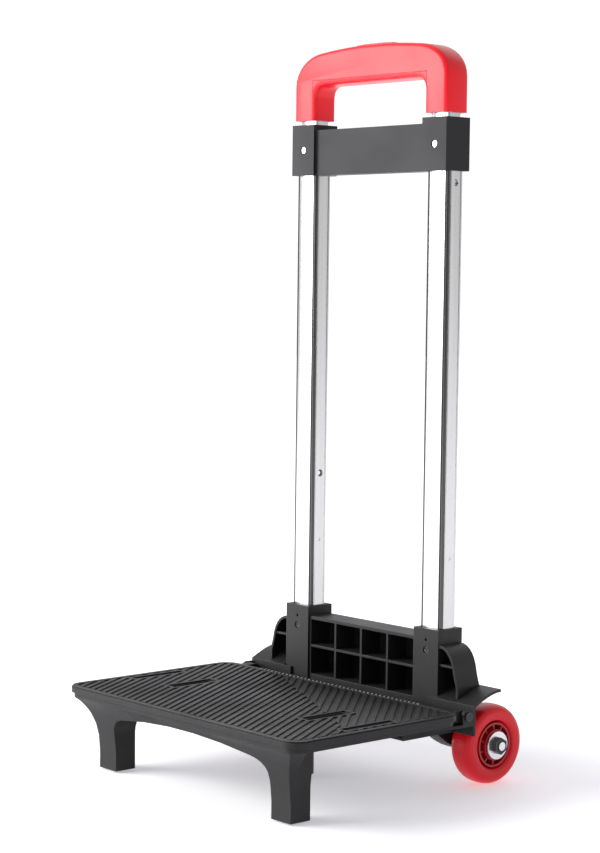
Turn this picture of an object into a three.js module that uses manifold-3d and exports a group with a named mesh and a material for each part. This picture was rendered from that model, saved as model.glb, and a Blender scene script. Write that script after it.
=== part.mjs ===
// Folding two-wheeled hand truck: a hinged load deck on two front legs, a moulded base
// with skate wheels, two aluminium tubes and a U-shaped pull handle that slides in them.
// Millimetres, +Z up, front of the deck towards -Y, the origin on the floor under the
// middle of the truck's footprint.
import * as THREE from "three";
import { mergeVertices } from "three/addons/utils/BufferGeometryUtils.js";
import Module from "manifold-3d";

const wasm = await Module();
wasm.setup();

// ---- Driving dimensions -----------------------------------------------------------
const gap = 0.3; // between faces that touch on the real object
const slide = 0.35; // running clearance of the sliding handle, on each side

const deckWidth = 312;
const deckDepth = 190;
const deckTop = 73;
const deckPlate = 3;
const deckLip = 4.5;
const deckEdge = 9; // full height of the deck's edge
const deckCorner = 16;
const skirtInset = 2.5;
const wall = 2.2; // moulded walls and ribs
const ribPitch = 26;
const slotsBack = 96.5; // the long slots' middle, in front of the deck's rear edge
const innerSlotInset = 66; // from the deck's side to the slot's middle
const innerSlotWidth = 8;
const innerSlotLength = 44;
const outerSlotInset = 15.5;
const outerSlotWidth = 4.5;
const outerSlotLength = 51;
const drainRadius = 2.6;
const drainInset = 88;

const legWidth = 24;
const legDepth = 21;
const legSetback = 20; // from the deck's front edge to the leg's front face
const legInset = 26.6; // from the deck's side to the leg's outer face
const legStraight = 16; // height below which the leg doesn't flare
const archCorner = 20; // width of the curve from the leg into the arch
const footRadius = 5.4;
const footLength = 13;
const footStand = 1.2; // how far the foot plug stands out of the leg
const stubWidth = 25;
const stubDepth = 25;
const stubY = -48.5; // centre of the middle strut, from the deck's rear edge
const stubCorner = 9;
const finRise = 16; // the fins' feet, above the strut's
const finReach = 42; // how far the fins run forward
const stubClear = 2; // its mouth above the floor

const hingeInset = 9; // from the deck's side to the outer face of the hinge cheek
const hingeRadius = 2;
const earRadius = 5.2;
const earWidth = 9;
const cheekWidth = 3.5;

const wheelRadius = 35;
const wheelWidth = 24;
const wheelInset = 33; // from the deck's side to the wheel's middle plane
const wheelFree = 3.6; // open space around the tread
const hubRadius = 19.6;
const hubRim = 1.9;
const hubNave = 13.6;
const spokes = 10;
const bearingOuter = 11;
const bearingInner = 4;
const bearingWidth = 7;
const bearingRace = 2.1;
const boltRadius = 3.8;
const boltHead = 6.6;
const washerRadius = 12.2;
const washerThick = 1.8;
const nutAcross = 13;
const nutHeight = 4.6;
const boltEnd = 1; // how far the bolt stands out of its nut
const bossRadius = 10;
const bossLength = 20.4;

const wheelToTube = 38; // wheel's middle plane to the tube's centre line
const tubeWidth = 25.8;
const tubeDepth = 21.9;
const tubeWall = 1.5;
const tubeCrown = 1.7;
const tubeTop = 574.5;
const innerWall = 1.3;
const innerFoot = 243;
const dimpleZ = 196; // shallow punch marks in the tubes' side faces
const dimpleRadius = 1.2;
const dimpleDepth = 0.5;
const socketWall = 2.1;
const socketFace = 3.4;
const socketTop = 134.6;
const panelTop = 126;
const panelSetback = 2;
const cellRise = 14; // floor of the panel's lower cells, above its foot
const gussetDrop = 13; // the gussets' tops, below the sockets'
const gussetInset = 26; // their outer faces, from the hinge cheeks'

const plateDrop = 15; // the base's floor plate, below the deck's top
const plateThick = 3;
const boxDrop = 8; // the side boxes' underside, below the floor plate's top
const windowWidth = 26;
const windowDepth = 30;
const guardThick = 2.4;
const guardRise = 11;
const guardSteps = 6;

const barDrop = 5; // the cross bar's top below its sockets'
const barHeight = 46;
const barOverTube = 3.5; // the cross bar's sockets stand above the tubes
const barThick = 16;
const barFace = 3; // the bar's front set back from its sockets'

const gripGap = 4;
const gripHeight = 64;
const gripOpening = 31;
const gripShoulder = 31; // height of the straight sides, above the grip's foot
const gripCornerWidth = 34;
const gripCrown = 3.6;
const gripDepth = 27.4;
const gripRound = 4.5;
const gripWall = 2.6;
const linerThick = 4.6;

const buttonLength = 46;
const buttonWidth = 12;
const buttonProud = 1.2;
const buttonTravel = 4;
const yokeHeight = 4;
const yokeWidth = 8;
const rodRadius = 1.9;
const blockHeight = 30;
const pinRadius = 2.8;
const pinTravel = 2;
const stopBelowBar = 10; // the upper catch holes, below the cross bar
const screwHead = 3.1;
const screwHeadHeight = 1.2;
const screwShank = 1.6;
const crossLength = 4; // the cross cut in a screw's head
const crossWidth = 0.8;
const crossDepth = 0.8;
const screwRecess = 2.3; // depth of the seat that a screw's head sits in

// ---- Places worked out from them ----------------------------------------------------
const wheelX = deckWidth / 2 - wheelInset;
const tubeX = wheelX - wheelToTube;
const socketWidth = tubeWidth + 2 * (gap + socketWall);
const socketDepth = tubeDepth + 2 * (gap + socketFace);
const cheekOuter = deckWidth / 2 - hingeInset;
const cheekInner = cheekOuter - cheekWidth;
const earOuter = cheekInner - 1;
const earInner = earOuter - earWidth;

const deckRear = 0;
const deckFront = deckRear - deckDepth;
const hingeY = deckRear + earRadius + 9;
const hingeZ = deckTop - earRadius;
const splashY = hingeY + earRadius + 1.6; // wall between the hinge and the wheel
const socketFront = splashY + wall + gap;
const tubeY = socketFront + socketDepth / 2;
const socketRear = socketFront + socketDepth;
const axleY = splashY + wall + wheelFree + wheelRadius;
const axleZ = wheelRadius;
const guardBottom = 2 * wheelRadius + wheelFree;
const boxInner = wheelX - 32;
const boxOuter = wheelX;
const boxFront = deckRear - 39;
const bossInner = wheelX - 37;
const bearingGap = wheelWidth - 2 * bearingWidth - 0.4;
const nutX = wheelX + wheelWidth / 2 + washerThick + gap;
const legOuter = deckWidth / 2 - legInset;
const legInner = legOuter - legWidth;
const legFront = deckFront + legSetback;
const plugX = legOuter - legWidth / 2;
const plugY = legFront + legDepth / 2;
const deckUnder = deckTop - deckPlate;
const plateTop = deckTop - plateDrop;
const boxFloor = plateTop - boxDrop;
const archHeight = plateTop;
const tubeFoot = plateTop + barOverTube;
const barTop = tubeTop + barOverTube;
const barBottom = barTop - barHeight;
const deckEdgeZ = deckTop - deckEdge;
const innerWidth = tubeWidth - 2 * (tubeWall + slide);
const innerDepth = tubeDepth - 2 * (tubeWall + slide);
const gripBottom = barTop + gripGap;
const gripOuter = tubeX + innerWidth / 2 + slide + gripWall;
const gripInner = tubeX - innerWidth / 2 - slide - gripWall;
const gripTop = gripBottom + gripHeight;
const openingTop = gripBottom + gripOpening;
const linerTop = openingTop + linerThick;
const yokeBottom = linerTop + buttonTravel + 8;
const yokeEnd = linerTop + buttonTravel + 2 * gap;
const buttonBottom = yokeBottom + yokeHeight + gap;
const pinZ = innerFoot + blockHeight / 2;
const handleTravel = barBottom - stopBelowBar - pinZ;
const footprintY = (deckFront + axleY + wheelRadius) / 2;

// ---- Solid helpers -------------------------------------------------------------------
function solid(geometry) {
  const bare = new THREE.BufferGeometry();
  const loose = geometry.index ? geometry.toNonIndexed() : geometry;
  bare.setAttribute("position", loose.getAttribute("position"));
  const merged = mergeVertices(bare, 1e-4);
  const vertProperties = new Float32Array(merged.attributes.position.array);
  const triVerts = new Uint32Array(merged.index.array);
  return new wasm.Manifold(new wasm.Mesh({ numProp: 3, vertProperties, triVerts }));
}

function surface(body) {
  const mesh = body.getMesh();
  const geometry = new THREE.BufferGeometry();
  geometry.setAttribute("position", new THREE.BufferAttribute(mesh.vertProperties, 3));
  geometry.setIndex(new THREE.BufferAttribute(mesh.triVerts, 1));
  return geometry;
}

function join(...bodies) {
  return bodies.reduce((whole, body) => whole.add(body));
}

function cut(body, ...tools) {
  return tools.reduce((rest, tool) => rest.subtract(tool), body);
}

function mirrored(body) {
  const geometry = surface(body).scale(-1, 1, 1);
  const index = geometry.index.array;
  for (let i = 0; i < index.length; i += 3) {
    [index[i + 1], index[i + 2]] = [index[i + 2], index[i + 1]];
  }
  return solid(geometry);
}

function bothSides(body) {
  return join(body, mirrored(body));
}

function box(x0, x1, y0, y1, z0, z1) {
  const geometry = new THREE.BoxGeometry(x1 - x0, y1 - y0, z1 - z0);
  return solid(geometry.translate((x0 + x1) / 2, (y0 + y1) / 2, (z0 + z1) / 2));
}

function outline(points) {
  return new THREE.Shape(points.map(([a, b]) => new THREE.Vector2(a, b)));
}

const curved = { bevelEnabled: false, curveSegments: 5 };

// An outline drawn in (x, y), raised from z0 to z1.
function raised(shape, z0, z1, options = {}) {
  const geometry = new THREE.ExtrudeGeometry(shape, { ...curved, depth: z1 - z0, ...options });
  return solid(geometry.translate(0, 0, z0));
}

// An outline drawn in (x, z), run from y0 back to y1.
function runBack(shape, y0, y1, options = {}) {
  const geometry = new THREE.ExtrudeGeometry(shape, { ...curved, depth: y1 - y0, ...options });
  return solid(geometry.rotateX(Math.PI / 2).translate(0, y1, 0));
}

// An outline drawn in (y, z), run sideways from x0 to x1.
function runAcross(shape, x0, x1) {
  const geometry = new THREE.ExtrudeGeometry(shape, { ...curved, depth: x1 - x0 });
  const turn = new THREE.Matrix4().set(0, 0, 1, 0, 1, 0, 0, 0, 0, 1, 0, 0, 0, 0, 0, 1);
  return solid(geometry.applyMatrix4(turn).translate(x0, 0, 0));
}

function barX(radius, x0, x1, y, z, sides = 24) {
  const geometry = new THREE.CylinderGeometry(radius, radius, x1 - x0, sides);
  return solid(geometry.rotateZ(Math.PI / 2).translate((x0 + x1) / 2, y, z));
}

function barY(radius, y0, y1, x, z, sides = 20) {
  const geometry = new THREE.CylinderGeometry(radius, radius, y1 - y0, sides);
  return solid(geometry.translate(x, (y0 + y1) / 2, z));
}

function barZ(radius, z0, z1, x, y, sides = 20) {
  const geometry = new THREE.CylinderGeometry(radius, radius, z1 - z0, sides);
  return solid(geometry.rotateX(Math.PI / 2).translate(x, y, (z0 + z1) / 2));
}

// A closed ring section, points (radius, x) anticlockwise, spun about the wheel's axle.
function spunX(section, sides) {
  const points = [...section, section[0]].map(([r, h]) => new THREE.Vector2(r, h));
  const geometry = new THREE.LatheGeometry(points, sides);
  return solid(geometry.rotateZ(-Math.PI / 2).translate(0, axleY, axleZ));
}

function ringX(inner, outer, x0, x1, sides = 32) {
  return spunX([[inner, x0], [outer, x0], [outer, x1], [inner, x1]], sides);
}

function roundedBox(halfWidth, y0, y1, corner) {
  const shape = new THREE.Shape();
  shape.moveTo(halfWidth, y0 + corner);
  shape.lineTo(halfWidth, y1 - corner);
  shape.absarc(halfWidth - corner, y1 - corner, corner, 0, Math.PI / 2);
  shape.absarc(corner - halfWidth, y1 - corner, corner, Math.PI / 2, Math.PI);
  shape.absarc(corner - halfWidth, y0 + corner, corner, Math.PI, Math.PI * 1.5);
  shape.absarc(halfWidth - corner, y0 + corner, corner, Math.PI * 1.5, Math.PI * 2);
  return shape;
}

function slotOutline(x, width, y0, y1) {
  const shape = new THREE.Shape();
  shape.absarc(x, y1 - width / 2, width / 2, 0, Math.PI);
  shape.absarc(x, y0 + width / 2, width / 2, Math.PI, Math.PI * 2);
  return shape;
}

// ---- Materials -------------------------------------------------------------------------
function finish(color, roughness, metalness) {
  return new THREE.MeshStandardMaterial({ color, roughness, metalness });
}

const blackPlastic = finish(0x1c1c1d, 0.6, 0);
const greyPlastic = finish(0x37373b, 0.45, 0);
const redPlastic = finish(0xe30613, 0.3, 0);
const redTyre = finish(0xd8081c, 0.35, 0);
const redHub = finish(0x9c0716, 0.45, 0);
const aluminium = finish(0xd0d0ce, 0.3, 1);
const zinc = finish(0xc3c6c8, 0.3, 1);
const steel = finish(0x8d9093, 0.35, 1);
const rubber = finish(0x18181a, 0.85, 0);

const truck = new THREE.Group();

function place(name, body, material) {
  const mesh = new THREE.Mesh(surface(body), material);
  mesh.name = name;
  truck.add(mesh);
}

function placePair(name, body, material) {
  place(name + "_right", body, material);
  place(name + "_left", mirrored(body), material);
}

// ---- Load deck -------------------------------------------------------------------------
function deckOutline(inset) {
  const halfWidth = deckWidth / 2 - inset;
  return roundedBox(halfWidth, deckFront + inset, deckRear - inset, deckCorner - inset);
}

// Front view of both legs and the arch between them, flaring out to the deck's corners.
function legsOutline() {
  const shape = new THREE.Shape();
  const shoulder = deckWidth / 2 - skirtInset;
  shape.moveTo(legInner, footStand);
  shape.lineTo(legOuter, footStand);
  shape.lineTo(legOuter, legStraight + 14);
  shape.quadraticCurveTo(legOuter + 1, deckEdgeZ - 8, shoulder, deckTop - deckLip + 0.5);
  shape.lineTo(-shoulder, deckTop - deckLip + 0.5);
  shape.quadraticCurveTo(-legOuter - 1, deckEdgeZ - 8, -legOuter, legStraight + 14);
  shape.lineTo(-legOuter, footStand);
  shape.lineTo(-legInner, footStand);
  shape.lineTo(-legInner, archHeight - 24);
  shape.quadraticCurveTo(-legInner, archHeight - 9, archCorner - legInner, archHeight - 7);
  shape.quadraticCurveTo(0, archHeight + 7, legInner - archCorner, archHeight - 7);
  shape.quadraticCurveTo(legInner, archHeight - 9, legInner, archHeight - 24);
  return shape;
}

// Side view of the front wall and legs: straight below, sweeping forward to the deck's lip.
function skirtOutline(back) {
  const shape = new THREE.Shape();
  shape.moveTo(legFront, footStand - 1);
  shape.lineTo(back, footStand - 1);
  shape.lineTo(back, deckUnder);
  shape.lineTo(deckFront + skirtInset, deckUnder);
  shape.lineTo(deckFront + skirtInset, deckEdgeZ + 1);
  shape.quadraticCurveTo(legFront - 2, deckEdgeZ - 10, legFront, legStraight);
  return shape;
}

function legs() {
  const across = runBack(legsOutline(), deckFront, legFront + legDepth + 1);
  const block = runAcross(skirtOutline(legFront + legDepth), -deckWidth / 2, deckWidth / 2);
  const behind = skirtOutline(legFront + legDepth + wall);
  const between = runAcross(behind, wall - legInner, legInner - wall).translate([0, wall, 0]);
  const flareOver = box(legOuter + 2, deckWidth, legFront + 5, legFront + legDepth + 2, 0, deckEdgeZ - 1);
  const withinDeck = raised(deckOutline(skirtInset), 0, deckTop);
  const pair = across.intersect(block).intersect(withinDeck);
  return cut(pair, between, flareOver, mirrored(flareOver));
}

// Plan positions of the long slots through the deck, at each side.
function slotAt(inset, width, length) {
  const middle = deckRear - slotsBack;
  return { x: deckWidth / 2 - inset, width, y0: middle - length / 2, y1: middle + length / 2 };
}
const deckSlots = [
  slotAt(innerSlotInset, innerSlotWidth, innerSlotLength),
  slotAt(outerSlotInset, outerSlotWidth, outerSlotLength),
];

function deckRibs() {
  const low = deckEdgeZ;
  const side = deckWidth / 2 - skirtInset - 1;
  const inFront = deckFront + skirtInset + 1;
  const ribs = [];
  for (let x = ribPitch / 2; x < boxInner - 4; x += ribPitch) {
    ribs.push(box(x - wall / 2, x + wall / 2, inFront, -4, low, deckUnder + 0.5));
  }
  for (let y = boxFront - 23; y > inFront + 12; y -= ribPitch + 2) {
    ribs.push(box(-1, side, y, y + wall, low + 1, deckUnder + 0.5));
  }
  // Ribs that rest on the base's floor plate when the deck is down.
  for (const x of [ribPitch / 2, ribPitch * 1.5]) {
    const rest = box(x - wall / 2, x + wall / 2, boxFront + 8, -4, plateTop + gap, deckUnder + 0.5);
    ribs.push(rest);
  }
  const channelBack = boxFront - 6;
  const channelFront = legFront + legDepth - 1;
  for (const x of [boxInner + 18, boxOuter + 8]) {
    ribs.push(box(x, x + wall, channelFront, channelBack, deckEdgeZ - 3.5, deckUnder + 0.5));
  }
  return bothSides(join(...ribs));
}

function middleStrut() {
  const y0 = stubY - stubDepth / 2;
  const tube = (inset, corner) => {
    const half = stubWidth / 2 - inset;
    const back = stubY + stubDepth / 2 - inset;
    const shape = new THREE.Shape();
    shape.moveTo(-half, y0 + inset);
    shape.lineTo(half, y0 + inset);
    shape.absarc(half - corner, back - corner, corner, 0, Math.PI / 2);
    shape.absarc(corner - half, back - corner, corner, Math.PI / 2, Math.PI);
    return shape;
  };
  const fin = outline([[y0 + 1, stubClear + finRise], [y0 + 1, deckUnder], [y0 - finReach, deckUnder]]);
  const shell = raised(tube(0, stubCorner), stubClear, deckUnder + 0.5);
  const finAt = stubWidth / 2 - wall;
  return {
    body: join(shell, bothSides(runAcross(fin, finAt, finAt + wall))),
    bore: raised(tube(wall + 0.4, stubCorner - wall), stubClear - 1, deckUnder - 2),
  };
}

function deck() {
  const strut = middleStrut();
  const plate = raised(deckOutline(0), deckTop - deckLip, deckTop);
  const edge = raised(deckOutline(skirtInset), deckEdgeZ, deckTop - 1);
  const hollow = raised(deckOutline(skirtInset + wall), deckEdgeZ - 1, deckUnder);
  const shell = cut(join(plate, edge), hollow);
  const collars = deckSlots.map(({ x, width, y0, y1 }) =>
    raised(slotOutline(x, width + 2 * wall, y0 - wall, y1 + wall), deckEdgeZ + 1, deckTop - 1));
  const openings = deckSlots.map(({ x, width, y0, y1 }) =>
    raised(slotOutline(x, width, y0, y1), deckEdgeZ - 5, deckTop + 1));
  const ear = join(
    box(earInner, earOuter, -4, hingeY, hingeZ - earRadius + 0.4, deckTop),
    barX(earRadius, earInner, earOuter, hingeY, hingeZ),
  );
  const whole = join(shell, legs(), deckRibs(), bothSides(join(...collars, ear)), strut.body);
  const boxWay = box(boxInner - 1, boxOuter + 1, boxFront - 1, 1, 0, deckUnder - 1);
  const pinHole = barX(hingeRadius + gap, 0, deckWidth / 2, hingeY, hingeZ, 16);
  const plugHole = barZ(footRadius + gap, -1, footLength + gap, plugX, plugY);
  const drainX = deckWidth / 2 - drainInset;
  const drain = barZ(drainRadius, deckEdgeZ - 1, deckTop + 1, drainX, deckRear - slotsBack, 14);
  const cuts = [...openings, boxWay, plugHole, drain, cut(pinHole, box(0, earInner - 2, -50, 50, 0, 90))];
  return cut(whole, bothSides(join(...cuts)), strut.bore);
}

// ---- Base with wheel arms ------------------------------------------------------------
function baseOutline() {
  const tab = boxInner + 4;
  return outline([
    [tab, -36], [boxInner - 17, -35], [boxInner - 34, -16], [34 - boxInner, -16],
    [17 - boxInner, -35], [-tab, -36], [-tab, socketRear], [tab, socketRear],
  ]);
}

// The arm in side view: from the floor plate down round the axle boss.
function armOutline() {
  const shape = new THREE.Shape();
  shape.moveTo(-4, boxFloor);
  shape.lineTo(splashY - 6, boxFloor);
  shape.quadraticCurveTo(axleY - 22, axleZ - bossRadius + 2, axleY, axleZ - bossRadius);
  shape.absarc(axleY, axleZ, bossRadius, -Math.PI / 2, Math.PI / 4);
  shape.lineTo(socketRear, plateTop);
  shape.lineTo(-4, plateTop);
  return shape;
}

// Guard over the wheel: a thin plate that curves up to the rear, seen from the side.
const guardEnd = socketRear + 1.4;

function guardCurve(lift, y0 = splashY, y1 = guardEnd) {
  const points = [];
  for (let i = 0; i <= guardSteps; i += 1) {
    const y = y0 + ((y1 - y0) * i) / guardSteps;
    const share = Math.min(Math.max((y - splashY) / (guardEnd - splashY), 0), 1);
    points.push([y, guardBottom + lift + guardRise * Math.sin((share * Math.PI) / 2)]);
  }
  return points;
}

function guardOutline() {
  return outline([...guardCurve(0), ...guardCurve(guardThick).reverse()]);
}

function sideFlap() {
  const shape = new THREE.Shape();
  shape.moveTo(boxOuter - 2, splashY + wall);
  shape.lineTo(boxOuter - 2, boxFront + 2);
  shape.quadraticCurveTo(earOuter, boxFront, earOuter + 1, boxFront + 22);
  shape.lineTo(cheekOuter, 4);
  shape.lineTo(cheekOuter, splashY + wall);
  return raised(shape, plateTop + 1, plateTop + 3.4);
}

function baseSide() {
  const lid = deckUnder - 4;
  const shell = box(boxInner, boxOuter, boxFront, splashY + wall, boxFloor, lid);
  const core = box(boxInner + wall, boxOuter - wall, boxFront - 1, splashY, boxFloor + wall, lid - wall);
  const arm = runAcross(armOutline(), bossInner, bossInner + 17.5);
  const boss = barX(bossRadius, bossInner, bossInner + bossLength, axleY, axleZ, 32);
  const splash = box(boxInner, cheekOuter, splashY, splashY + wall, boxFloor, guardBottom + guardThick);
  const guard = runAcross(guardOutline(), tubeX + socketWidth / 2 + gap, cheekOuter);
  const cheek = join(
    box(cheekInner, cheekOuter, hingeY - 6, splashY + 1, plateTop + 1, hingeZ),
    barX(6, cheekInner, cheekOuter, hingeY, hingeZ),
    box(cheekInner, cheekOuter, hingeY, splashY + 1, hingeZ, guardBottom),
  );
  return join(cut(shell, core), cut(arm, core), boss, splash, guard, cheek, sideFlap());
}

function base() {
  const plate = raised(baseOutline(), plateTop - plateThick, plateTop);
  const lower = plateTop - plateThick - 1;
  const windowRear = socketRear - 3;
  const cuts = [];
  for (const x of [-tubeX + 20, 0, tubeX - 20]) {
    const half = windowWidth / 2;
    cuts.push(box(x - half, x + half, windowRear - windowDepth, windowRear, lower, plateTop + 1));
    for (const clip of [x - 11.5, x + 11.5]) {
      const clipY = windowRear - windowDepth - 7;
      cuts.push(box(clip - 4.5, clip + 4.5, clipY, clipY + 4, lower, plateTop + 1));
    }
  }
  const hole = barZ(6, lower, plateTop + 1, tubeX - 6.7, -11.5, 24);
  const bolt = barX(boltRadius + gap, 0, deckWidth / 2, axleY, axleZ);
  const headSeat = barX(boltHead + 1.6, bossInner - 1, bossInner + 5, axleY, axleZ, 28);
  const pinHole = barX(hingeRadius + gap, boxOuter - 10, deckWidth / 2, hingeY, hingeZ, 16);
  const whole = join(plate, bothSides(baseSide()));
  return cut(whole, ...cuts, bothSides(join(hole, bolt, headSeat, pinHole)));
}

// ---- Upright frame over the base: two tube sockets, ribbed panel and side gussets --------
function tubeOutline(width, depth, crown, corner, groove) {
  const a = width / 2;
  const b = depth / 2;
  const shape = new THREE.Shape();
  shape.moveTo(corner - a, crown - b);
  shape.quadraticCurveTo(0, -b - crown, a - corner, crown - b);
  shape.quadraticCurveTo(a, crown - b, a, crown - b + corner);
  if (groove) {
    shape.lineTo(a - groove, crown - b + corner + groove);
    shape.lineTo(a, crown - b + corner + 2 * groove);
    shape.lineTo(a, b - crown - corner - 2 * groove);
    shape.lineTo(a - groove, b - crown - corner - groove);
  }
  shape.lineTo(a, b - crown - corner);
  shape.quadraticCurveTo(a, b - crown, a - corner, b - crown);
  shape.quadraticCurveTo(0, b + crown, corner - a, b - crown);
  shape.quadraticCurveTo(-a, b - crown, -a, b - crown - corner);
  if (groove) {
    shape.lineTo(groove - a, b - crown - corner - groove);
    shape.lineTo(-a, b - crown - corner - 2 * groove);
    shape.lineTo(-a, crown - b + corner + 2 * groove);
    shape.lineTo(groove - a, crown - b + corner + groove);
  }
  shape.lineTo(-a, crown - b + corner);
  shape.quadraticCurveTo(-a, crown - b, corner - a, crown - b);
  return shape;
}

function tubeBody(inset, z0, z1, groove = 0) {
  const width = tubeWidth - 2 * inset;
  const depth = tubeDepth - 2 * inset;
  const shape = tubeOutline(width, depth, tubeCrown, 2.6, groove);
  return raised(shape, z0, z1, { curveSegments: 4 }).translate([tubeX, tubeY, 0]);
}

const socketScrewZ = socketTop - 19;
const panelFront = socketFront + panelSetback;
const frameBottom = plateTop + gap;

function gusset() {
  const inner = tubeX + socketWidth / 2;
  const outer = cheekOuter - gussetInset;
  const gussetTop = socketTop - gussetDrop;
  const foot = guardBottom + guardThick + guardRise + gap;
  const side = (inset) => {
    const shape = new THREE.Shape();
    shape.moveTo(inner - 1, foot - 20);
    shape.lineTo(outer - inset + 3, foot - 20);
    shape.lineTo(outer - inset + 3, foot);
    shape.quadraticCurveTo(outer - inset, foot + 8, outer - inset - 2, foot + 18);
    shape.quadraticCurveTo(outer - inset - 6, gussetTop - inset - 3, inner + 4, gussetTop - inset);
    shape.lineTo(inner - 1, gussetTop - inset);
    return shape;
  };
  const shell = runBack(side(0), socketFront + 1, socketRear - 1.5);
  const recess = runBack(side(2.4), socketFront, socketRear - 4);
  const shelfZ = foot + 16;
  const shelf = box(inner - 1, outer - 4, socketFront + 2, socketRear - 3, shelfZ, shelfZ + 2);
  const hollowed = join(cut(shell, recess), shelf.intersect(shell));
  const y0 = socketFront - 1;
  const y1 = guardEnd;
  const overGuard = guardCurve(guardThick + gap, y0, y1).reverse();
  const belowGuard = foot - gussetInset;
  const belowLine = outline([[y0, belowGuard], [y1, belowGuard], ...overGuard]);
  const under = runAcross(belowLine, inner - 2, deckWidth / 2);
  return cut(hollowed, under);
}

function uprightFrame() {
  const x0 = tubeX - socketWidth / 2;
  const x1 = tubeX + socketWidth / 2;
  const socket = join(box(x0, x1, socketFront, socketRear, frameBottom, socketTop), gusset());
  const panelBack = socketRear - 1.5;
  const panel = box(-x0 - 1, x0 + 1, panelFront, panelBack, frameBottom, panelTop);
  const cellWidth = (2 * x0 - 5 * wall) / 4;
  const midRib = (deckTop + panelTop) / 2 - 2;
  const cellFloor = frameBottom + cellRise;
  const cells = [];
  for (let i = 0; i < 4; i += 1) {
    const left = -x0 + wall + i * (cellWidth + wall);
    const right = left + cellWidth;
    cells.push(box(left, right, panelFront - 1, panelBack - 2.5, midRib + wall, panelTop - 3));
    cells.push(box(left, right, panelFront - 1, panelBack - 2.5, cellFloor, midRib));
    cells.push(box(left, right, panelFront + wall, panelBack - 2.5, frameBottom - 1, cellFloor - wall));
  }
  const tubeHole = tubeBody(-gap, tubeFoot - gap, socketTop + 1);
  const screwHole = barY(screwShank + gap, socketFront - 1, tubeY, tubeX, socketScrewZ, 12);
  const headHole = barY(screwHead + gap, socketFront - 1, socketFront + screwRecess, tubeX, socketScrewZ, 16);
  const blindHole = barY(1.3, socketFront - 1, socketFront + 2, tubeX, socketScrewZ + 9, 12);
  const whole = cut(join(panel, bothSides(socket)), ...cells);
  return cut(whole, bothSides(join(tubeHole, screwHole, headHole, blindHole)));
}

// ---- Tubes and the cross bar ---------------------------------------------------------
const lockHoleTop = pinZ + handleTravel;
const barSocketWidth = tubeWidth + 2 * (gap + 1.55);
const barSocketDepth = tubeDepth + 2 * (gap + 3.15);
const barFront = tubeY - barSocketDepth / 2;
const barScrewZ = (barBottom + barTop) / 2;

function outerTube() {
  const body = cut(tubeBody(0, tubeFoot, tubeTop, 0.7), tubeBody(tubeWall, tubeFoot - 1, tubeTop + 1));
  const lowHole = barX(pinRadius + 0.4, tubeX - tubeWidth, tubeX, tubeY, pinZ, 20);
  const topHole = barX(pinRadius + 0.4, tubeX, tubeX + tubeWidth, tubeY, lockHoleTop, 20);
  const screwHoles = [socketScrewZ, barScrewZ].map((z) =>
    barY(screwShank + gap, tubeY - tubeDepth, tubeY, tubeX, z, 12));
  const face = tubeWidth / 2 - dimpleDepth;
  const dimples = [[-tubeWidth, -face], [face, tubeWidth]].map(([from, to]) =>
    barX(dimpleRadius, tubeX + from, tubeX + to, tubeY, dimpleZ, 10));
  return cut(body, lowHole, topHole, ...screwHoles, ...dimples);
}

function crossBar() {
  const x0 = tubeX - barSocketWidth / 2;
  const x1 = tubeX + barSocketWidth / 2;
  const socket = box(x0, x1, barFront, barFront + barSocketDepth, barBottom, barTop);
  const face = barFront + barFace;
  const bar = box(-x0 - 1, x0 + 1, face, face + barThick, barBottom, barTop - barDrop);
  const tubeHole = tubeBody(-gap, barBottom - 1, barTop + 1);
  const screwHole = barY(screwShank + gap, barFront - 1, tubeY, tubeX, barScrewZ, 12);
  const headHole = barY(screwHead + gap, barFront - 1, barFront + screwRecess, tubeX, barScrewZ, 16);
  const whole = join(bar, bothSides(socket));
  return cut(whole, bothSides(join(tubeHole, screwHole, headHole)));
}

// A pan-head screw that enters from the front, its head down in its seat.
function frontScrew(faceY, z) {
  const seat = faceY + screwRecess - gap;
  const top = seat - screwHeadHeight;
  const head = barY(screwHead, top, seat, tubeX, z, 16);
  const shank = barY(screwShank, seat - 0.3, tubeY - innerDepth / 2 - slide - gap, tubeX, z, 12);
  const long = crossLength / 2;
  const narrow = crossWidth / 2;
  const cross = join(
    box(tubeX - long, tubeX + long, top - 1, top + crossDepth, z - narrow, z + narrow),
    box(tubeX - narrow, tubeX + narrow, top - 1, top + crossDepth, z - long, z + long),
  );
  return cut(join(head, shank), cross);
}

function guideBush() {
  const collar = tubeBody(0, tubeTop + gap, barTop - 0.6);
  return cut(collar, tubeBody(tubeWall + slide - gap, tubeTop, barTop));
}

// ---- Telescopic handle -----------------------------------------------------------------
function innerTube() {
  const skin = tubeWall + slide;
  const top = gripBottom + gripShoulder - gripRound - 5;
  const body = cut(tubeBody(skin, innerFoot, top), tubeBody(skin + innerWall, innerFoot - 1, top + 1));
  const pinHoles = barX(pinRadius + 0.4, tubeX - tubeWidth, tubeX + tubeWidth, tubeY, pinZ, 20);
  return cut(body, pinHoles);
}

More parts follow.
